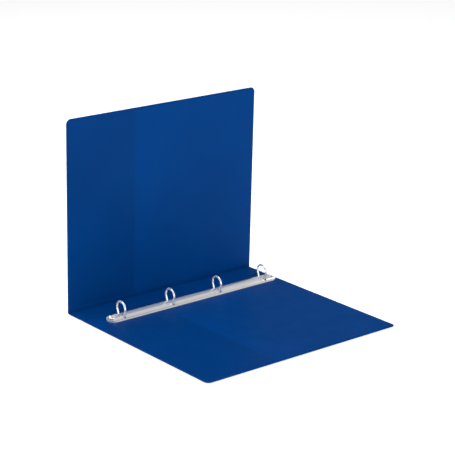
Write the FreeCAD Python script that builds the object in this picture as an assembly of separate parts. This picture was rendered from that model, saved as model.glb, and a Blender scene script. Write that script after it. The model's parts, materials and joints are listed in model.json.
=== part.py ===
import FreeCAD, Part
import math
import os

# Four-ring presentation binder, opened: the back cover and the spine lie flat and the front
# cover stands up, leaning slightly inwards. Millimetres. +X runs from the spine to the back
# cover's open edge, +Y to the top of the binder and +Z up from the face it rests on. The origin
# is the centre of the bottom of the open binder's box.

Vec = FreeCAD.Vector
along_y = Vec(0, 1, 0)

# Panels
cover_height = 311.0
cover_width = 267.0  # fold line to open edge
spine_width = 36.0  # fold line to fold line
front_cover_lean = 2.1  # degrees inwards from upright
board_thickness = 2.0
foil_thickness = 0.3
film_thickness = 0.2
rim_width = 2.5  # welded foil rim outside the board
web_half_width = 3.5  # board-free foil on each side of a fold line
web_bend_radius = 1.5
cover_corner_radius = 7.0
board_corner_radius = 5.0
hinge_corner_radius = 1.0

# Pockets
cover_film_start = 8.0  # from the fold line
spine_film_start = 4.5
film_edge_margin = 0.8
film_top_gap = 6.0
film_corner_radius = 1.5
inner_pocket_height = 107.0
inner_pocket_margin = 0.5
front_inner_pocket_start = 8.0
back_inner_pocket_start = 38.0

# Ring mechanism, in a frame of its own: centred on the housing, Z from the cover's inner face
ring_pitch = 80.0
ring_count = 4
mechanism_from_fold = 24.0
mechanism_above_middle = 9.2  # the mechanism sits nearer to the top of the binder
housing_half_width = 10.0
housing_height = 6.4
housing_sheet = 0.7
lip_opening_half_width = 6.6  # between the housing's curled bottom lips
rivet_beyond_ring = 12.2
dish_floor_radius = 4.2
dish_top_radius = 8.0
nose_tip_height = 1.2
nose_slope_start = 6.0  # before the rivet
nose_middle_height = 5.2
slot_inner = 4.6
slot_outer = 8.7
slot_half_length = 2.0

# Rails
rail_pivot_x = 7.45
rail_pivot_z = 1.5
rail_thickness = 1.0
rail_inner_gap = 0.25
rail_droop = 6.0  # degrees below level at the centre line, with the rings closed
rail_beyond_ring = 4.5

# Rings
ring_radius = 9.3
ring_centre_z = 13.5
wire_radius = 1.4
leg_foot_x = 5.5
stud_radius = 0.9
tip_gap = 0.05
tip_pin_radius = 0.6
tip_pin_length = 0.8
tip_hole_radius = 0.85
tip_hole_depth = 1.1

# Rivets
rivet_head_radius = 4.0
rivet_head_height = 0.8
rivet_head_rounding = 0.4
rivet_shank_radius = 2.2
rivet_bore_radius = 1.7
rivet_flare_radius = 3.4
rivet_flare_height = 0.6
rivet_clearance = 0.1

# Worked out from the sizes above
outer_face_z = film_thickness
board_low_z = film_thickness + foil_thickness
board_high_z = board_low_z + board_thickness
inner_face_z = board_high_z + foil_thickness
fold_z = (board_low_z + board_high_z) / 2
front_cover_angle = 90 + front_cover_lean  # turned up from flat
lean = math.radians(front_cover_lean)
beyond_front_fold = fold_z * math.cos(lean) - cover_film_start * math.sin(lean)
back_fold_x = -(cover_width - spine_width - beyond_front_fold) / 2
front_fold_x = back_fold_x - spine_width
half_height = cover_height / 2
wall_half_height = half_height - rim_width
board_half_height = wall_half_height - foil_thickness
last_ring_y = ring_pitch * (ring_count - 1) / 2
ring_positions = [ring_pitch * index - last_ring_y for index in range(ring_count)]
rivet_y = last_ring_y + rivet_beyond_ring
leg_rise = ring_centre_z - rail_pivot_z
leg_reach = math.hypot(leg_foot_x, leg_rise)
ring_arc = math.pi - math.atan(leg_foot_x / leg_rise) - math.acos(ring_radius / leg_reach)  # top to leg
mechanism_place = Vec(back_fold_x + mechanism_from_fold, mechanism_above_middle, inner_face_z)
clear = 50.0  # longer than anything that a cutting tool passes through


def block(x_range, y_range, z_range):
    """A box between the two ends of each range."""
    low = Vec(min(x_range), min(y_range), min(z_range))
    width, depth, height = (max(r) - min(r) for r in (x_range, y_range, z_range))
    return Part.makeBox(width, depth, height, low)


def round_corners(solid, x, radius):
    """Rounds a plate's upright edges that lie at x."""
    edges = []
    for edge in solid.Edges:
        low, high = edge.Vertexes[0].Point, edge.Vertexes[-1].Point
        upright = abs(low.x - high.x) < 1e-6 and abs(low.y - high.y) < 1e-6
        if upright and abs(low.x - x) < 1e-6:
            edges.append(edge)
    return solid.makeFillet(radius, edges)


class Panel:
    """One of the three flat panels, laid flat, running outwards from a fold line."""

    def __init__(self, side, fold_x, reach, open_rim):
        self.side = side
        self.fold_x = fold_x
        self.reach = reach
        self.open_rim = open_rim
        self.far_radius = cover_corner_radius if open_rim else 0
        self.board_far_radius = board_corner_radius if open_rim else hinge_corner_radius
        self.wall = (web_half_width, reach - open_rim)
        self.board_span = (self.wall[0] + foil_thickness, self.wall[1] - foil_thickness)

    def plate(self, span, half_y, z_range, fold_radius, far_radius):
        """A plate over a span of distances from the fold line; half_y may be a pair of Y values."""
        y_range = half_y if isinstance(half_y, tuple) else (-half_y, half_y)
        near, far = (self.fold_x + self.side * distance for distance in span)
        solid = block((near, far), y_range, z_range)
        if fold_radius:
            solid = round_corners(solid, near, fold_radius)
        if far_radius:
            solid = round_corners(solid, far, far_radius)
        return solid

    def board(self):
        return self.plate(self.board_span, board_half_height, (board_low_z, board_high_z),
                          hinge_corner_radius, self.board_far_radius)

    def skin(self, face_z, rim_z, board_z):
        """A foil tray over one face of the board, with half of the welded rim around it."""
        rim = self.plate((web_half_width, self.reach), half_height, (fold_z, rim_z), 0, self.far_radius)
        tray = self.plate(self.wall, wall_half_height, (fold_z, face_z),
                          hinge_corner_radius, self.board_far_radius)
        cavity = self.plate(self.board_span, board_half_height, (fold_z, board_z),
                            hinge_corner_radius, self.board_far_radius)
        return rim.fuse(tray).cut(cavity).removeSplitter()

    def outer_skin(self):
        return self.skin(outer_face_z, fold_z - foil_thickness, board_low_z)

    def inner_skin(self):
        return self.skin(inner_face_z, fold_z + foil_thickness, board_high_z)

    def clear_pocket(self, start, end):
        """The film welded over the outside, open at the top."""
        y_range = (-wall_half_height + film_edge_margin, half_height - film_top_gap)
        return self.plate((start, end), y_range, (0, film_thickness), film_corner_radius, film_corner_radius)

    def inner_pocket(self, start):
        """The foil welded over the bottom of the inside, open towards the top."""
        low_y = -wall_half_height + inner_pocket_margin
        end = self.wall[1] - inner_pocket_margin
        return self.plate((start, end), (low_y, inner_pocket_height - half_height),
                          (inner_face_z, inner_face_z + foil_thickness), 0, self.board_far_radius)


back = Panel(1, back_fold_x, cover_width, rim_width)
spine = Panel(-1, back_fold_x, spine_width - web_half_width, 0)
front = Panel(-1, front_fold_x, cover_width, rim_width)


def stand_up(shape):
    """Turns a flat front cover part up about the front fold."""
    shape.rotate(Vec(front_fold_x, 0, fold_z), along_y, front_cover_angle)
    return shape


def web_strip(x_range):
    """Two layers of foil, welded together with no board between them."""
    return block(x_range, (-half_height, half_height), (fold_z - foil_thickness, fold_z + foil_thickness))


def hinge_web_flat():
    return web_strip((back_fold_x - web_half_width, back_fold_x + web_half_width))


def hinge_web_bent():
    """The front fold's foil: flat from the spine, round a tight bend, then up the front cover."""
    bend_start = web_bend_radius * math.tan(math.radians(front_cover_angle / 2))
    spine_leg = web_strip((front_fold_x + bend_start, front_fold_x + web_half_width))
    cover_leg = stand_up(web_strip((front_fold_x - bend_start, front_fold_x - web_half_width)))
    bend_centre = Vec(front_fold_x + bend_start, 0, fold_z + web_bend_radius)
    section = next(face for face in spine_leg.Faces if abs(face.BoundBox.XMax - bend_centre.x) < 1e-6)
    bend = section.revolve(bend_centre, along_y, front_cover_angle)
    return spine_leg.fuse(bend).fuse(cover_leg).removeSplitter()


def arch(inset):
    """The housing's arched bar, shrunk all round by inset."""
    radius = (housing_half_width ** 2 + housing_height ** 2) / (2 * housing_height)
    centre_z = housing_height - radius
    reach = rivet_y + housing_half_width
    bar = Part.makeCylinder(radius - inset, 2 * reach, Vec(0, -reach, centre_z), along_y)
    return bar.common(block((-clear, clear), (-reach, reach), (0, clear)))


def nose_plan(inset):
    """A long bar with round ends, seen from above, concentric with the rivets."""
    radius = housing_half_width - inset
    plan = block((-radius, radius), (-rivet_y, rivet_y), (0, clear))
    for end in (-1, 1):
        plan = plan.fuse(Part.makeCylinder(radius, clear, Vec(0, end * rivet_y, 0)))
    return plan


def nose_profile(inset):
    """The housing's side profile: level, then falling to each nose."""
    start_y = rivet_y - nose_slope_start
    tip_y = rivet_y + housing_half_width
    middle_y = (start_y + tip_y) / 2

    def corner(y, z):
        return Vec(-clear, y, z - inset)

    def slope(end):
        return Part.Arc(corner(end * start_y, housing_height), corner(end * middle_y, nose_middle_height),
                        corner(end * tip_y, nose_tip_height)).toShape()

    edges = [
        slope(1),
        Part.makeLine(corner(tip_y, nose_tip_height), corner(tip_y, -clear)),
        Part.makeLine(corner(tip_y, -clear), corner(-tip_y, -clear)),
        Part.makeLine(corner(-tip_y, -clear), corner(-tip_y, nose_tip_height)),
        slope(-1),
        Part.makeLine(corner(-start_y, housing_height), corner(start_y, housing_height)),
    ]
    outline = Part.Wire(Part.__sortEdges__(edges))
    return Part.Face(outline).extrude(Vec(2 * clear, 0, 0))


def dish(end, inset):
    """The conical dish around a rivet; inset makes the larger cone that leaves the sheet's thickness."""
    depth = housing_height - housing_sheet
    spread = (dish_top_radius - dish_floor_radius) / depth
    growth = inset * math.sqrt(1 + spread ** 2)
    floor_z = housing_sheet - inset
    floor_radius = dish_floor_radius + growth - spread * inset
    height = housing_height + 2 - floor_z
    return Part.makeCone(floor_radius, floor_radius + spread * height, height, Vec(0, end * rivet_y, floor_z))


def slot(side, ring_y):
    solid = block((side * slot_inner, side * slot_outer), (ring_y - slot_half_length, ring_y + slot_half_length),
                  (housing_sheet, clear))
    for x in (side * slot_inner, side * slot_outer):
        solid = round_corners(solid, x, slot_half_length - 0.05)
    return solid


def ring_housing():
    outside = arch(0).common(nose_plan(0)).common(nose_profile(0))
    inside = arch(housing_sheet).common(nose_plan(housing_sheet)).common(nose_profile(housing_sheet))
    for end in (-1, 1):
        outside = outside.cut(dish(end, 0))
        inside = inside.cut(dish(end, housing_sheet))
    nose_y = rivet_y + housing_half_width
    wide = inside.common(block((-clear, clear), (-nose_y, nose_y), (housing_sheet, clear)))
    narrow = inside.common(block((-lip_opening_half_width, lip_opening_half_width),
                                 (-nose_y, nose_y), (-1, housing_sheet)))
    shell = outside.cut(wide).cut(narrow)
    for end in (-1, 1):
        shell = shell.cut(Part.makeCylinder(rivet_shank_radius + rivet_clearance, clear,
                                            Vec(0, end * rivet_y, -1)))
    for ring_y in ring_positions:
        for side in (-1, 1):
            shell = shell.cut(slot(side, ring_y))
    return shell


def tilt_rail(shape):
    """Turns a part drawn on a level edge-side rail down to where it lies with the rings closed."""
    shape.rotate(Vec(rail_pivot_x, 0, rail_pivot_z), along_y, -rail_droop)
    return shape


def ring_stud(ring_y):
    """The thin end of a ring's wire, through the edge-side rail."""
    foot = Vec(leg_foot_x, ring_y, rail_pivot_z - rail_thickness / 2)
    return tilt_rail(Part.makeCylinder(stud_radius, 1.5 * rail_thickness, foot))


def rail():
    """The edge-side rail, hinged at its round outer edge inside the housing."""
    reach_y = last_ring_y + rail_beyond_ring
    half = rail_thickness / 2
    plan_reach = rail_pivot_x - rail_inner_gap
    reach_x = plan_reach / math.cos(math.radians(rail_droop))
    plate = block((rail_pivot_x - reach_x, rail_pivot_x), (-reach_y, reach_y),
                  (rail_pivot_z - half, rail_pivot_z + half))
    edge = Part.makeCylinder(half, 2 * reach_y, Vec(rail_pivot_x, -reach_y, rail_pivot_z), along_y)
    solid = tilt_rail(plate.fuse(edge).removeSplitter())
    for ring_y in ring_positions:
        solid = solid.cut(ring_stud(ring_y))
    return solid


def ring_half(ring_y, has_pin):
    """The edge-side half of a ring: an arc, a straight leg tangent to it and a stud through the rail."""
    centre = Vec(0, ring_y, ring_centre_z)
    top = centre + Vec(0, 0, ring_radius)
    section = Part.Face(Part.Wire(Part.makeCircle(wire_radius, top, Vec(1, 0, 0))))
    arc = section.revolve(centre, along_y, math.degrees(ring_arc))
    bend = centre + Vec(math.sin(ring_arc), 0, math.cos(ring_arc)) * ring_radius
    foot = Vec(leg_foot_x, ring_y, rail_pivot_z)
    leg = Part.makeCylinder(wire_radius, (foot - bend).Length, bend, foot - bend)
    wire = arc.fuse(leg)
    rail_top = rail_pivot_z + rail_thickness / 2
    wire = wire.cut(tilt_rail(block((-clear, clear), (ring_y - clear, ring_y + clear), (-clear, rail_top))))
    wire = wire.fuse(ring_stud(ring_y))
    wire = wire.common(block((tip_gap, clear), (ring_y - clear, ring_y + clear), (-clear, clear)))
    if has_pin:
        length = tip_pin_length + wire_radius
        pin = Part.makeCylinder(tip_pin_radius, length, top - Vec(tip_pin_length, 0, 0), Vec(1, 0, 0))
        return wire.fuse(pin).removeSplitter()
    return wire.cut(Part.makeCylinder(tip_hole_radius, tip_hole_depth, top, Vec(1, 0, 0)))


def mirrored(shape):
    """The spine-side copy of an edge-side part."""
    return shape.mirror(Vec(0, 0, 0), Vec(1, 0, 0))


def rivet(end):
    """A tubular rivet: its head under the cover, its flare on the floor of the housing's dish."""
    flare_low = inner_face_z + housing_sheet
    flare_high = flare_low + rivet_flare_height
    half_flare = rivet_flare_height / 2
    x, y = mechanism_place.x, mechanism_place.y + end * rivet_y
    head = Part.makeCylinder(rivet_head_radius, rivet_head_height, Vec(x, y, 0))
    head = head.makeFillet(rivet_head_rounding, [e for e in head.Edges if abs(e.BoundBox.ZMax) < 1e-6])
    shank = Part.makeCylinder(rivet_shank_radius, flare_high, Vec(x, y, 0))
    flare = Part.makeCylinder(rivet_flare_radius, rivet_flare_height, Vec(x, y, flare_low))
    flare = flare.makeFillet(half_flare, [e for e in flare.Edges if abs(e.BoundBox.ZMin - flare_high) < 1e-6])
    bore = Part.makeCylinder(rivet_bore_radius, clear, Vec(x, y, rivet_head_height))
    return head.fuse(shank).fuse(flare).cut(bore).removeSplitter()


def rivet_holes(shape, head_too):
    """Opens a back cover layer for both rivets, as wide as their heads where head_too is set."""
    for end in (-1, 1):
        x, y = mechanism_place.x, mechanism_place.y + end * rivet_y
        shank = rivet_shank_radius + rivet_clearance
        shape = shape.cut(Part.makeCylinder(shank, clear, Vec(x, y, -1)))
        if head_too:
            head = rivet_head_radius + rivet_clearance
            shape = shape.cut(Part.makeCylinder(head, rivet_head_height + 1, Vec(x, y, -1)))
    return shape


def on_cover(shape):
    """Moves a mechanism part from its own frame to its place on the back cover."""
    shape.translate(mechanism_place)
    return shape


def build():
    cover_film_end = back.wall[1] - film_edge_margin
    spine_film_end = spine_width - spine_film_start
    parts = {
        "back_board": rivet_holes(back.board(), True),
        "back_outer_skin": rivet_holes(back.outer_skin(), True),
        "back_inner_skin": rivet_holes(back.inner_skin(), False),
        "back_clear_pocket": rivet_holes(back.clear_pocket(cover_film_start, cover_film_end), True),
        "back_inner_pocket": back.inner_pocket(back_inner_pocket_start),
        "back_hinge_web": hinge_web_flat(),
        "spine_board": spine.board(),
        "spine_outer_skin": spine.outer_skin(),
        "spine_inner_skin": spine.inner_skin(),
        "spine_clear_pocket": spine.clear_pocket(spine_film_start, spine_film_end),
        "front_hinge_web": hinge_web_bent(),
        "front_board": stand_up(front.board()),
        "front_outer_skin": stand_up(front.outer_skin()),
        "front_inner_skin": stand_up(front.inner_skin()),
        "front_clear_pocket": stand_up(front.clear_pocket(cover_film_start, cover_film_end)),
        "front_inner_pocket": stand_up(front.inner_pocket(front_inner_pocket_start)),
        "ring_housing": on_cover(ring_housing()),
        "edge_side_rail": on_cover(rail()),
        "spine_side_rail": on_cover(mirrored(rail())),
        "rivet_bottom": rivet(-1),
        "rivet_top": rivet(1),
    }
    for number, ring_y in enumerate(ring_positions, 1):
        parts[f"ring_{number}_edge_half"] = on_cover(ring_half(ring_y, True))
        parts[f"ring_{number}_spine_half"] = on_cover(mirrored(ring_half(ring_y, False)))
    return parts


os.makedirs("parts", exist_ok=True)
for node, shape in build().items():
    box = shape.BoundBox
    print(node, shape.ShapeType, len(shape.Solids), shape.isValid(), round(shape.Volume, 1),
          [round(v, 2) for v in (box.XMin, box.XMax, box.YMin, box.YMax, box.ZMin, box.ZMax)])
    shape.exportStep(f"parts/{node}.step")
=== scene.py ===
import json
import math

import bmesh
import bpy
from mathutils import Matrix, Vector, noise


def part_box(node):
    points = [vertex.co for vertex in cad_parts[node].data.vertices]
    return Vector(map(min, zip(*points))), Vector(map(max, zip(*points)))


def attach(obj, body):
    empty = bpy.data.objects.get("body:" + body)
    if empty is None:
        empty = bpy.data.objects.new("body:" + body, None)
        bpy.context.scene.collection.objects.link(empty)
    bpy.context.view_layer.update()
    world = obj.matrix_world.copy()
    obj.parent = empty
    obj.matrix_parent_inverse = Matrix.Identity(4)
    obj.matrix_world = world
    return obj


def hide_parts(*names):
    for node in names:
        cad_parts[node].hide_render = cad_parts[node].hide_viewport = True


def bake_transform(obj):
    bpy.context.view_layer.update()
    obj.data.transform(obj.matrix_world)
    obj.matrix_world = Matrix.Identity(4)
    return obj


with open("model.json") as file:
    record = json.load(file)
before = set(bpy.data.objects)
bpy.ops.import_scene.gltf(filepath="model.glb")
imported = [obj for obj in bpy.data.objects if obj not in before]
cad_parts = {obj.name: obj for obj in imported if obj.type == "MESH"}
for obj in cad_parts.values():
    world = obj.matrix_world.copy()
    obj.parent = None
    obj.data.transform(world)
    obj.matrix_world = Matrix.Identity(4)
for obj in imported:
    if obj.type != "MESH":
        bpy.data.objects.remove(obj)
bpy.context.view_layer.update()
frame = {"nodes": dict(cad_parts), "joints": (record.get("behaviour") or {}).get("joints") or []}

# A four-ring presentation binder. The ring mechanism, the rivets and the boards are the CAD nodes
# with finished materials. The foil, the films, the pockets and the two folds are built here.
# Metres. A panel is drawn flat in a frame of its own: its first axis runs from the fold towards the
# open edge, the second is the binder's Y and the third is the height above the foils' welded
# middle plane, positive towards the inside of the binder.

MM = 0.001
joints = {joint["name"]: joint for joint in frame["joints"]}
back_fold = Vector(joints["spine_fold"]["pos_m"])
front_fold = Vector(joints["front_fold"]["pos_m"])
front_cover_angle = math.radians(-joints["front_fold"]["range_deg"][0])

# Foil
foil = 0.3 * MM
shoulder_radius = 0.55 * MM
shoulder_steps = 5
foot_flare = 0.25 * MM  # where the foil turns from the wall into the rim
rim_width = 2.5 * MM
rim_round = 0.12 * MM
groove_near = 0.7 * MM  # the weld groove, from the wall
groove_far = 1.6 * MM
groove_slope = 0.1 * MM  # half the width of each of its slopes
weld_groove_depth = 0.1 * MM
seam_gap = 0.01 * MM  # between the two foils of a rim, and between foil and board
film_clearance = 0.04 * MM
foil_wave = 0.03 * MM
wave_length = 55 * MM

# Corners and mesh density
corner_steps = 8
sharp_corner = 0.02 * MM
square_corner = 0.3 * MM
core_margin = 1 * MM  # from the largest corner to the regular grid
edge_to_core = 0.5 * MM  # from the outline's last ring to the regular grid
cell_size = 9 * MM
smooth_angle = math.radians(35)
merge_distance = 1e-7

# Studio
floor_glow = 0.65
floor_drop = 0.2 * MM
floor_size = 12.0
world_strength = 0.33
camera_place = (1.56438, -1.24726, 0.75911)
camera_azimuth = math.radians(51.534)
camera_elevation = math.radians(17.495)
camera_lens = 128.32
sensor_width = 36
farthest_seen = 50


# ---------------------------------------------------------------- materials

def new_material(name, colour, roughness, metallic=0.0, specular=0.5, coat=0.0):
    """A material with its constant values on the shader. Returns it, its nodes, links and shader."""
    material = bpy.data.materials.new(name)
    material.use_nodes = True
    nodes, links = material.node_tree.nodes, material.node_tree.links
    shader = nodes["Principled BSDF"]
    shader.inputs["Base Color"].default_value = (*colour, 1)
    shader.inputs["Roughness"].default_value = roughness
    shader.inputs["Metallic"].default_value = metallic
    shader.inputs["Specular IOR Level"].default_value = specular
    shader.inputs["Coat Weight"].default_value = coat
    return material, nodes, links, shader


def object_noise(nodes, links, scale, detail=3.0, stretch=(1, 1, 1)):
    """Noise fixed to the piece, with about scale features to the metre."""
    place = nodes.new("ShaderNodeTexCoord")
    mapping = nodes.new("ShaderNodeMapping")
    mapping.inputs["Scale"].default_value = stretch
    texture = nodes.new("ShaderNodeTexNoise")
    texture.inputs["Scale"].default_value = scale
    texture.inputs["Detail"].default_value = detail
    links.new(place.outputs["Object"], mapping.inputs["Vector"])
    links.new(mapping.outputs["Vector"], texture.inputs["Vector"])
    return texture.outputs["Fac"]


def ramp(nodes, links, value, stops):
    """A colour ramp; stops are (position, colour)."""
    node = nodes.new("ShaderNodeValToRGB")
    elements = node.color_ramp.elements
    while len(elements) < len(stops):
        elements.new(0.5)
    for element, (position, colour) in zip(elements, stops):
        element.position = position
        element.color = (*colour, 1)
    links.new(value, node.inputs["Fac"])
    return node.outputs["Color"]


def spread(nodes, links, value, low, high):
    """Maps the middle of a noise's range to low..high."""
    node = nodes.new("ShaderNodeMapRange")
    node.inputs["From Min"].default_value = 0.3
    node.inputs["From Max"].default_value = 0.7
    node.inputs["To Min"].default_value = low
    node.inputs["To Max"].default_value = high
    links.new(value, node.inputs["Value"])
    return node.outputs["Result"]


def bump(nodes, links, heights, shader):
    """Chained bumps; heights are (value, strength, depth in metres)."""
    normal = None
    for value, strength, depth in heights:
        node = nodes.new("ShaderNodeBump")
        node.inputs["Strength"].default_value = strength
        node.inputs["Distance"].default_value = depth
        links.new(value, node.inputs["Height"])
        if normal:
            links.new(normal, node.inputs["Normal"])
        normal = node.outputs["Normal"]
    links.new(normal, shader.inputs["Normal"])


def shade(colour, factor):
    return tuple(channel * factor for channel in colour)


def foil_material(name, colour, roughness, specular):
    """Coloured soft plastic foil: fine embossed grain, slow tonal drift and faint handling marks."""
    material, nodes, links, shader = new_material(name, colour, roughness, specular=specular)
    drift = object_noise(nodes, links, 7, 2)
    stops = [(0.3, shade(colour, 0.93)), (0.7, shade(colour, 1.07))]
    links.new(ramp(nodes, links, drift, stops), shader.inputs["Base Color"])
    marks = object_noise(nodes, links, 38, 4)
    links.new(spread(nodes, links, marks, roughness - 0.05, roughness + 0.06), shader.inputs["Roughness"])
    grain = object_noise(nodes, links, 1500, 2)
    ripple = object_noise(nodes, links, 24, 1)
    bump(nodes, links, [(ripple, 0.2, 0.1 * MM), (grain, 0.1, 0.03 * MM)], shader)
    return material


def film_material():
    """Clear film: mostly see-through, with a gloss and a faint milky bloom."""
    material, nodes, links, shader = new_material("clear_film", (0.1, 0.3, 0.6), 0.14, specular=0.5)
    haze = object_noise(nodes, links, 16, 3)
    links.new(spread(nodes, links, haze, 0.10, 0.2), shader.inputs["Roughness"])
    links.new(spread(nodes, links, haze, 0.04, 0.07), shader.inputs["Alpha"])
    bump(nodes, links, [(object_noise(nodes, links, 20, 1), 0.3, 0.1 * MM)], shader)
    return material


def weld_highlight_material():
    """The film where it is melted into the foil: pale blue, a painted highlight along the weld, and finely
    uneven.
    """
    # Paler than the foil: a painted highlight on the weld line.
    colour = (0.07, 0.19, 0.40)
    material, nodes, links, shader = new_material("weld_painted_highlight", colour, 0.3, specular=0.5)
    mottle = object_noise(nodes, links, 160, 2)
    stops = [(0.3, shade(colour, 0.75)), (0.7, shade(colour, 1.3))]
    links.new(ramp(nodes, links, mottle, stops), shader.inputs["Base Color"])
    bump(nodes, links, [(object_noise(nodes, links, 900, 1), 0.4, 0.05 * MM)], shader)
    return material


def metal_material(name, colour, roughness, metallic, brush=(1, 1, 1)):
    """Plated steel: slight roughness drift and fine drawing lines along the axis that brush shrinks."""
    material, nodes, links, shader = new_material(name, colour, roughness, metallic)
    drift = object_noise(nodes, links, 60, 3)
    links.new(spread(nodes, links, drift, roughness * 0.75, roughness * 1.3), shader.inputs["Roughness"])
    stops = [(0.3, shade(colour, 0.94)), (0.7, colour)]
    links.new(ramp(nodes, links, object_noise(nodes, links, 25, 2), stops), shader.inputs["Base Color"])
    lines = object_noise(nodes, links, 700, 2, brush)
    bump(nodes, links, [(lines, 0.03, 0.02 * MM)], shader)
    return material


def board_material():
    """Grey board: pressed fibres."""
    colour = (0.33, 0.31, 0.29)
    material, nodes, links, shader = new_material("greyboard", colour, 0.9, specular=0.2)
    stops = [(0.3, shade(colour, 0.8)), (0.5, colour), (0.7, shade(colour, 1.2))]
    fibres = object_noise(nodes, links, 420, 4, (1, 4, 1))
    links.new(ramp(nodes, links, fibres, stops), shader.inputs["Base Color"])
    bump(nodes, links, [(object_noise(nodes, links, 1200, 3), 0.5, 0.05 * MM)], shader)
    return material


def floor_material():
    """A pale matt studio surface."""
    colour = (0.7, 0.7, 0.7)
    material, nodes, links, shader = new_material("studio_floor", colour, 0.85, specular=0.1)
    stops = [(0.3, shade(colour, 0.99)), (0.7, colour)]
    links.new(ramp(nodes, links, object_noise(nodes, links, 3, 2), stops), shader.inputs["Base Color"])
    shader.inputs["Emission Color"].default_value = (1, 1, 1, 1)
    shader.inputs["Emission Strength"].default_value = floor_glow
    return material


foil_colour = (0.0, 0.038, 0.177)
inner_foil = foil_material("blue_foil_inside", foil_colour, 0.45, 0.025)
outer_foil = foil_material("blue_foil_outside", shade(foil_colour, 0.9), 0.4, 0.05)
pocket_foil = foil_material("blue_foil_pocket", shade(foil_colour, 0.86), 0.4, 0.03)
clear_film = film_material()
weld_painted_highlight = weld_highlight_material()
along_binder = (1, 0.03, 1)
nickel_housing = metal_material("nickel_housing", (0.93, 0.92, 0.90), 0.12, 0.7, along_binder)
# The ring wire's blue tint is a painted reflection of the blue foil.
ring_wire = metal_material("ring_wire", (0.82, 0.87, 0.94), 0.22, 0.55)
# The rails are painted dark: painted shade inside the housing's ring slots, where the real steel is bright.
rail_steel = metal_material("rail_steel", (0.16, 0.155, 0.15), 0.35, 1.0, along_binder)
# The rivet steel is painted a darker grey than plated steel: painted shade for the rivet hole in the
# housing's dish.
rivet_metal = metal_material("rivet_metal", (0.6, 0.6, 0.6), 0.28, 0.9)
greyboard = board_material()


# ---------------------------------------------------------------- meshes

def finish_piece(name, bm, place, material, body, nodes=()):
    """Makes an object of a closed mesh, at its place, riding on a body."""
    bmesh.ops.remove_doubles(bm, verts=bm.verts, dist=merge_distance)
    bmesh.ops.recalc_face_normals(bm, faces=bm.faces)
    bm.transform(place)
    if place.to_3x3().determinant() < 0:
        bmesh.ops.reverse_faces(bm, faces=bm.faces)
    mesh = bpy.data.meshes.new(name)
    bm.to_mesh(mesh)
    bm.free()
    mesh.shade_smooth()
    mesh.set_sharp_from_angle(angle=smooth_angle)
    mesh.materials.append(material)
    piece = bpy.data.objects.new(name, mesh)
    bpy.context.scene.collection.objects.link(piece)
    piece.modifiers.new("flat_faces_first", "WEIGHTED_NORMAL").keep_sharp = True
    if body:
        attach(piece, body)
    if nodes:
        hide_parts(*nodes)
    return piece


class Outline:
    """A rectangle with round corners, which can be inset or, where edges allow, widened."""

    def __init__(self, near, far, low, high, near_radius, far_radius, near_grows=True, corner_growth=1.0):
        self.near, self.far, self.low, self.high = near, far, low, high
        self.near_radius, self.far_radius = near_radius, far_radius
        self.near_grows = near_grows
        self.corner_growth = corner_growth
        self.across = max(2, round((far - near) / cell_size))
        self.along = max(2, round((high - low) / cell_size))

    def core_inset(self):
        return max(self.near_radius, self.far_radius) + core_margin

    def face_inset(self):
        """The inset of the last ring before the regular grid."""
        return self.core_inset() - edge_to_core

    def edges(self, inset):
        near_inset = inset if inset > 0 or self.near_grows else 0
        return (self.near + near_inset, self.far - inset, self.low + inset, self.high - inset)

    def ring(self, inset):
        """Points round the outline: each corner's arc, then the side after it."""
        near, far, low, high = self.edges(inset)
        shrink = inset if inset > 0 else inset * self.corner_growth
        near_round = max(self.near_radius - shrink, sharp_corner)
        if inset < 0 and not self.near_grows:
            near_round = max(self.near_radius * (1 + inset / square_corner), sharp_corner)
        far_round = max(self.far_radius - shrink, sharp_corner)
        corners = [
            (near + near_round, low + near_round, near_round, math.pi),
            (far - far_round, low + far_round, far_round, 1.5 * math.pi),
            (far - far_round, high - far_round, far_round, 0),
            (near + near_round, high - near_round, near_round, 0.5 * math.pi),
        ]
        arcs = []
        for x, y, radius, start in corners:
            angles = [start + 0.5 * math.pi * step / corner_steps for step in range(corner_steps + 1)]
            arcs.append([Vector((x + radius * math.cos(a), y + radius * math.sin(a))) for a in angles])
        points = []
        for index, arc in enumerate(arcs):
            after = arcs[(index + 1) % 4][0]
            cells = (self.across, self.along)[index % 2]
            points += arc
            points += [arc[-1].lerp(after, step / cells) for step in range(1, cells)]
        return points

    def corner_starts(self):
        """Where each corner's arc starts in a ring."""
        starts, place = [], 0
        for index in range(4):
            starts.append(place)
            place += corner_steps + (self.across, self.along)[index % 2]
        return starts


def flat(point):
    return 0.0


def add_core(bm, outline, ring, height, relief):
    """Fills a ring with a regular grid, with a fan of triangles in each round corner."""
    near, far, low, high = outline.edges(outline.core_inset())
    columns, rows = outline.across, outline.along
    grid = []
    for i in range(columns + 1):
        x = near + (far - near) * i / columns
        grid.append([])
        for j in range(rows + 1):
            point = Vector((x, low + (high - low) * j / rows))
            grid[i].append(bm.verts.new((*point, height + relief(point))))
    for i in range(columns):
        for j in range(rows):
            bm.faces.new((grid[i][j], grid[i + 1][j], grid[i + 1][j + 1], grid[i][j + 1]))
    border = [
        [grid[i][0] for i in range(columns + 1)],
        [grid[columns][j] for j in range(rows + 1)],
        [grid[i][rows] for i in reversed(range(columns + 1))],
        [grid[0][j] for j in reversed(range(rows + 1))],
    ]
    for side, start in zip(border, outline.corner_starts()):
        for step in range(corner_steps):
            bm.faces.new((side[0], ring[start + step], ring[start + step + 1]))
        for step in range(len(side) - 1):
            first = start + corner_steps + step
            bm.faces.new((side[step], ring[first], ring[(first + 1) % len(ring)], side[step + 1]))


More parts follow.
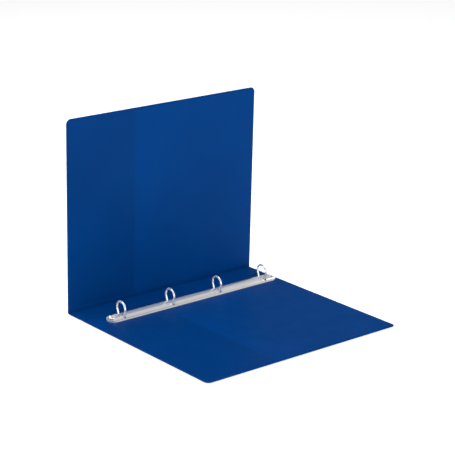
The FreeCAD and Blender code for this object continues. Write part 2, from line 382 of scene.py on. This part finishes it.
def sheet(outline, profile, relief=flat):
    """A closed sheet; profile is (inset, height) from the top face's middle round to the bottom's."""
    bm = bmesh.new()
    rings = []
    for inset, height in profile:
        ring = []
        for point in outline.ring(inset):
            wave = relief(point) if inset > 0 and height == profile[0][1] else 0
            ring.append(bm.verts.new((*point, height + wave)))
        rings.append(ring)
    count = len(rings[0])
    for above, below in zip(rings, rings[1:]):
        for index in range(count):
            after = (index + 1) % count
            bm.faces.new((above[index], below[index], below[after], above[after]))
    add_core(bm, outline, rings[0], profile[0][1], relief)
    add_core(bm, outline, rings[-1], profile[-1][1], flat)
    return bm


def quarter(height, radius):
    """A rounded edge of a profile, from its face at that height to its side."""
    angles = [0.5 * math.pi * step / shoulder_steps for step in range(shoulder_steps + 1)]
    return [(radius * (1 - math.sin(a)), height - radius * (1 - math.cos(a))) for a in angles]


class Panel:
    """One of the three flat panels and the foil, film and pockets on it."""

    def __init__(self, name, body, place, near, far, half_height, open_edge):
        self.name, self.body, self.place = name, body, place
        self.near, self.far, self.half = near, far, half_height
        self.open_edge = open_edge

    def wall(self):
        """The outline of the foil over the board's edges, without the rim."""
        sides = (self.near, self.far, -self.half, self.half, hinge_corner_radius)
        if self.open_edge:
            return Outline(*sides, board_corner_radius, near_grows=False, corner_growth=0.8)
        return SpineOutline(*sides, hinge_corner_radius, near_grows=False)

    def tray(self, side, face_height, holes):
        """The foil over one face of the board, with its half of the welded rim."""
        outline = self.wall()
        profile = [(outline.face_inset(), face_height)]
        profile += quarter(face_height, shoulder_radius)
        profile += [
            (0, foil + foot_flare),
            (-0.32 * foot_flare, foil + 0.32 * foot_flare),
            (-foot_flare, foil),
            (-groove_near + groove_slope, foil),
            (-groove_near - groove_slope, foil - weld_groove_depth),
            (-groove_far + groove_slope, foil - weld_groove_depth),
            (-groove_far - groove_slope, foil),
            (-rim_width + rim_round, foil),
            (-rim_width + 0.3 * rim_round, foil - 0.3 * rim_round),
            (-rim_width, foil - rim_round),
            (-rim_width, seam_gap),
            (foil, seam_gap),
            (foil, board_half - seam_gap),
            (outline.face_inset(), board_half + seam_gap),
        ]

        def wave(point):
            return foil_wave * noise.noise(Vector((*point, side)) / wave_length)

        bm = sheet(outline, profile, wave)
        bmesh.ops.scale(bm, vec=(1, 1, side), verts=bm.verts)
        kind = "inner" if side > 0 else "outer"
        material = inner_foil if side > 0 else outer_foil
        piece = finish_piece(f"{self.name}_{kind}_foil", bm, self.place, material, self.body,
                             [f"{self.name}_{kind}_skin"])
        bore(piece, holes)
        return piece


class SpineOutline(Outline):
    """The spine's outline: the rim only grows along the binder's ends, not into the folds."""

    def edges(self, inset):
        across = max(inset, 0)
        return (self.near + across, self.far - across, self.low + inset, self.high - inset)


drill_length = 20 * MM
drill_segments = 48


def bore(piece, holes):
    """Cuts round holes through a piece; holes are (centre, radius)."""
    for centre, radius in holes:
        bm = bmesh.new()
        bmesh.ops.create_cone(bm, cap_ends=True, segments=drill_segments, radius1=radius, radius2=radius,
                              depth=drill_length, matrix=Matrix.Translation(centre))
        mesh = bpy.data.meshes.new("drill")
        bm.to_mesh(mesh)
        bm.free()
        drill = bpy.data.objects.new("drill", mesh)
        bpy.context.scene.collection.objects.link(drill)
        cut = piece.modifiers.new("hole", "BOOLEAN")
        cut.object, cut.operation, cut.solver = drill, "DIFFERENCE", "EXACT"
        piece.modifiers.move(len(piece.modifiers) - 1, 0)
        with bpy.context.temp_override(object=piece, active_object=piece, selected_objects=[piece]):
            bpy.ops.object.modifier_apply(modifier="hole")
        bpy.data.objects.remove(drill)
        bpy.data.meshes.remove(mesh)


# ---------------------------------------------------------------- the binder's own sizes, from its boards

low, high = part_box("back_board")
spine_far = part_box("spine_board")[1].x + foil - front_fold.x
board_half = (high.z - low.z) / 2
face_half = board_half + foil
half_wall = high.y + foil
board_corner_radius = 5 * MM
hinge_corner_radius = 1 * MM
head_hole_gap = 0.1 * MM
shank_hole_radius = 2.3 * MM
web_half = low.x - foil - back_fold.x
cover_far = high.x + foil - back_fold.x

lie = Matrix.Translation(back_fold)
spine_lie = Matrix.Translation(front_fold)
mirror_x = Matrix.Scale(-1, 4, (1, 0, 0))
stand = Matrix.Translation(front_fold) @ Matrix.Rotation(front_cover_angle, 4, "Y") @ mirror_x

back = Panel("back", "back_cover", lie, web_half, cover_far, half_wall, True)
spine = Panel("spine", "spine", spine_lie, web_half, spine_far, half_wall, False)
front = Panel("front", "front_cover", stand, web_half, cover_far, half_wall, True)

rivets = []
for node in ("rivet_bottom", "rivet_top"):
    rivet_low, rivet_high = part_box(node)
    centre = (rivet_low + rivet_high) / 2
    rivets.append((centre, (rivet_high.x - rivet_low.x) / 2))
head_holes = [(centre, radius + head_hole_gap) for centre, radius in rivets]
shank_holes = [(centre, shank_hole_radius) for centre, _ in rivets]

for panel in (back, spine, front):
    outer_holes = head_holes if panel is back else ()
    inner_holes = shank_holes if panel is back else ()
    panel.tray(-1, face_half - film_clearance, outer_holes)
    panel.tray(1, face_half, inner_holes)


# ---------------------------------------------------------------- films, their weld lines and the pockets

film_top_gap = 6 * MM
film_margin = 0.8 * MM
film_low = -half_wall + film_margin
film_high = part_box("back_inner_skin")[1].y - film_top_gap
film_corner = 1.5 * MM
film_layer = 0.12 * MM
film_bedding = 0.02 * MM  # between foil and film, and how far a weld sinks into the foil
film_edge_round = 0.04 * MM
weld_width = 1.0 * MM
weld_height = 0.19 * MM
weld_shoulder = 0.2 * MM
weld_edge = 0.05 * MM
weld_edge_drop = 0.06 * MM


def film_spans():
    """Each panel's film, from its fold."""
    film_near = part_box("back_clear_pocket")[0].x - back_fold.x
    film_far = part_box("back_clear_pocket")[1].x - back_fold.x
    spine_film_low, spine_film_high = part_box("spine_clear_pocket")
    return [
        (back, film_near, film_far),
        (spine, spine_film_low.x - front_fold.x, spine_film_high.x - front_fold.x),
        (front, film_near, film_far),
    ]


def film(panel, near, far, holes):
    """The clear film on the outside of a panel."""
    outline = Outline(near, far, film_low, film_high, film_corner, film_corner)
    top = face_half + film_bedding + film_layer
    profile = [
        (outline.face_inset(), top),
        (1.5 * film_edge_round, top),
        (0.5 * film_edge_round, top - 0.5 * film_edge_round),
        (0, top - film_edge_round),
        (0, top - film_layer),
        (outline.face_inset(), top - film_layer),
    ]
    bm = sheet(outline, profile)
    bmesh.ops.scale(bm, vec=(1, 1, -1), verts=bm.verts)
    piece = finish_piece(f"{panel.name}_film", bm, panel.place, clear_film, panel.body,
                         [f"{panel.name}_clear_pocket"])
    bore(piece, holes)


def weld_frame(panel, near, far):
    """The line where the film is welded down, and the film's cut edge at the open top."""
    outline = Outline(near, far, film_low, film_high, film_corner, film_corner)
    base = face_half - film_bedding
    crown = base + weld_height
    section = [
        (0, base),
        (weld_edge, crown - weld_edge_drop),
        (weld_shoulder, crown),
        (weld_width - weld_shoulder, crown),
        (weld_width - weld_edge, crown - weld_edge_drop),
        (weld_width, base),
    ]
    bm = bmesh.new()
    rings = [[bm.verts.new((*point, height)) for point in outline.ring(inset)] for inset, height in section]
    count = len(rings[0])
    for index in range(len(rings)):
        ring, following = rings[index], rings[(index + 1) % len(rings)]
        for step in range(count):
            after = (step + 1) % count
            bm.faces.new((ring[step], following[step], following[after], ring[after]))
    bmesh.ops.scale(bm, vec=(1, 1, -1), verts=bm.verts)
    finish_piece(f"{panel.name}_film_weld", bm, panel.place, weld_painted_highlight, panel.body)


for panel, near, far in film_spans():
    film(panel, near, far, head_holes if panel is back else ())
    weld_frame(panel, near, far)


pocket_layer = 0.26 * MM
pocket_lift = 0.04 * MM
pocket_bow = 0.35 * MM
pocket_weld_inner = 1.6 * MM  # the pressed weld line, from the pocket's edge
pocket_weld_outer = 0.9 * MM
pocket_weld_slope = 0.3 * MM
pocket_weld_depth = 0.1 * MM
pocket_edge_round = 0.12 * MM
pocket_near_radius = 1.5 * MM
pocket_far_radius = 4 * MM
pocket_low, pocket_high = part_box("back_inner_pocket")


def inner_pocket(panel, near):
    """A foil pocket welded along three sides; its free edge, towards the top, bows out a little."""
    far = pocket_high.x - back_fold.x
    outline = Outline(near, far, pocket_low.y, pocket_high.y, pocket_near_radius, pocket_far_radius)
    base = face_half + pocket_lift
    top = base + pocket_layer
    width, height = far - near, pocket_high.y - pocket_low.y

    def bow(point):
        across = (point.x - near) / width
        along = (point.y - pocket_low.y) / height
        return pocket_bow * max(0, math.sin(math.pi * across)) * max(0, along) ** 3

    profile = [
        (outline.face_inset(), top),
        (pocket_weld_inner + pocket_weld_slope, top),
        (pocket_weld_inner, top - pocket_weld_depth),
        (pocket_weld_outer, top - pocket_weld_depth),
        (pocket_weld_outer - pocket_weld_slope, top),
        (pocket_edge_round, top),
        (pocket_edge_round / 4, top - pocket_edge_round / 3),
        (0, top - pocket_edge_round),
        (0, base),
        (outline.face_inset(), base),
    ]
    bm = sheet(outline, profile)
    for vert in bm.verts:
        vert.co.z += bow(vert.co)
    finish_piece(f"{panel.name}_pocket", bm, panel.place, pocket_foil, panel.body,
                 [f"{panel.name}_inner_pocket"])


inner_pocket(back, pocket_low.x - back_fold.x)
inner_pocket(front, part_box("back_clear_pocket")[0].x - back_fold.x)


# ---------------------------------------------------------------- the two folds

fold_cells = 56
crease_depth = 0.09 * MM
crease_width = 0.35 * MM
bend_radius = 1.5 * MM
creases = [0.0, -1.9 * MM, 1.9 * MM]
web_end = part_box("back_hinge_web")[1].y
web_end_round = 0.15 * MM
bend_reach = bend_radius * math.tan(front_cover_angle / 2)
half_arc = bend_radius * front_cover_angle / 2


def web_thickness(s):
    """Half the welded foils' thickness, s away from the fold line, thinner along the pressed creases."""
    dip = sum(math.exp(-((s - crease) / crease_width) ** 2) for crease in creases)
    return foil - crease_depth * dip


def flat_path(s):
    return Vector((s, 0)), Vector((0, 1))


def bent_path(s):
    """The middle of the front fold's foil and its normal; s runs from the spine to the front cover."""
    turn = min(max((s + half_arc) / bend_radius, 0), front_cover_angle)
    centre = Vector((bend_reach, bend_radius))
    point = centre + bend_radius * Vector((-math.sin(turn), -math.cos(turn)))
    straight = min(s + half_arc, 0) + max(s - half_arc, 0)
    point += straight * Vector((-math.cos(turn), math.sin(turn)))
    return point, Vector((math.sin(turn), math.cos(turn)))


def fold_strip(name, path, half_length, fold, node):
    """The foil strip across a fold between two bodies, built in one fixed shape."""
    bm = bmesh.new()
    spots = [half_length * (2 * step / fold_cells - 1) for step in range(fold_cells + 1)]
    loop = []
    for spot, side in [(s, 1) for s in spots] + [(s, -1) for s in reversed(spots)]:
        middle, normal = path(spot)
        loop.append(middle + side * web_thickness(spot) * normal)
    stations = [
        (-web_end, 0.5),
        (-web_end + web_end_round, 1),
        (0, 1),
        (web_end - web_end_round, 1),
        (web_end, 0.5),
    ]
    centre_line = [(loop[i] + loop[-1 - i]) / 2 for i in range(len(loop))]
    rings = []
    for y, fullness in stations:
        points = [c.lerp(p, fullness) for c, p in zip(centre_line, loop)]
        rings.append([bm.verts.new((fold.x + p.x, y, fold.z + p.y)) for p in points])
    count = len(loop)
    for ring, following in zip(rings, rings[1:]):
        for index in range(count):
            after = (index + 1) % count
            bm.faces.new((ring[index], following[index], following[after], ring[after]))
    for ring in (rings[0], rings[-1]):
        for index in range(fold_cells):
            bm.faces.new((ring[index], ring[index + 1], ring[count - 2 - index], ring[count - 1 - index]))
    piece = finish_piece(name, bm, Matrix.Identity(4), inner_foil, None, [node])
    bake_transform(piece)


fold_strip("back_hinge", flat_path, web_half, back_fold,
           "back_hinge_web")
bend_start, bend_end = (bent_path(side * half_arc)[0] for side in (-1, 1))
fold_strip("front_hinge", bent_path, web_half - bend_reach + half_arc, front_fold,
           "front_hinge_web")


# ---------------------------------------------------------------- CAD nodes that stay

edge_rounding = 0.12 * MM
rounded_angle = math.radians(40)
finishes = {"board": greyboard, "rail": rail_steel, "half": ring_wire}


def finish_nodes():
    """Gives each CAD node that still shows its material and softened edges."""
    for name, node in frame["nodes"].items():
        if node.hide_render:
            continue
        material = finishes.get(name.split("_")[-1])
        if name == "ring_housing":
            material = nickel_housing
        elif name.startswith("rivet"):
            material = rivet_metal
        node.data.materials.clear()
        node.data.materials.append(material)
        bevel = node.modifiers.new("soft_edges", "BEVEL")
        bevel.width = edge_rounding
        bevel.segments = 2
        bevel.limit_method = "ANGLE"
        bevel.angle_limit = rounded_angle


finish_nodes()


# ---------------------------------------------------------------- studio

def studio_floor():
    bpy.ops.mesh.primitive_grid_add(x_subdivisions=4, y_subdivisions=4, size=floor_size,
                                    location=(0, 0, -floor_drop))
    floor = bpy.context.object
    floor.name = "floor"
    floor.data.materials.append(floor_material())


def soft_light(name, place, size, power, target=(0, 0, 0.08)):
    data = bpy.data.lights.new(name, "AREA")
    data.shape = "DISK"
    data.size = size
    data.energy = power
    light = bpy.data.objects.new(name, data)
    light.location = place
    light.rotation_mode = "QUATERNION"
    light.rotation_quaternion = (Vector(target) - Vector(place)).to_track_quat("-Z", "Y")
    bpy.context.scene.collection.objects.link(light)


def studio_world():
    """White all round, greyer towards the ground, with a dark card in a ring for the metal to reflect."""
    world = bpy.data.worlds.new("studio")
    bpy.context.scene.world = world
    world.use_nodes = True
    nodes, links = world.node_tree.nodes, world.node_tree.links
    background = nodes["Background"]
    background.inputs["Strength"].default_value = world_strength
    place = nodes.new("ShaderNodeTexCoord")
    split = nodes.new("ShaderNodeSeparateXYZ")
    links.new(place.outputs["Generated"], split.inputs["Vector"])
    horizon, sky_level, card = (0.5, 0.5, 0.5), (1.12, 1.12, 1.12), (0.12, 0.12, 0.12)
    stops = [(0.0, horizon), (0.3, (0.8, 0.8, 0.8)), (0.5, sky_level), (0.57, sky_level), (0.6, card),
             (0.66, card), (0.69, sky_level), (1.0, sky_level)]
    sky = ramp(nodes, links, split.outputs["Z"], stops)
    seen = nodes.new("ShaderNodeLightPath")
    mix = nodes.new("ShaderNodeMix")
    mix.data_type = "RGBA"
    mix.inputs["B"].default_value = (3.1, 3.1, 3.1, 1)
    links.new(seen.outputs["Is Camera Ray"], mix.inputs["Factor"])
    links.new(sky, mix.inputs["A"])
    links.new(mix.outputs["Result"], background.inputs["Color"])


def camera():
    data = bpy.data.cameras.new("camera")
    data.lens = camera_lens
    data.sensor_width = sensor_width
    data.clip_end = farthest_seen
    view = bpy.data.objects.new("camera", data)
    view.location = camera_place
    level = math.cos(camera_elevation)
    forward = Vector((-math.sin(camera_azimuth) * level, math.cos(camera_azimuth) * level,
                      -math.sin(camera_elevation)))
    view.rotation_mode = "QUATERNION"
    view.rotation_quaternion = forward.to_track_quat("-Z", "Y")
    bpy.context.scene.collection.objects.link(view)
    bpy.context.scene.camera = view


studio_floor()
studio_world()
soft_light("key", (1.9, -0.9, 0.5), 1.5, 33)
soft_light("fill", (0.6, 1.8, 1.2), 1.0, 8)
soft_light("overhead", (-0.1, -0.2, 1.6), 1.2, 19)
soft_light("back_fill", (-1.8, -0.6, 0.9), 1.0, 14)
camera()
bpy.context.scene.view_settings.view_transform = "Standard"
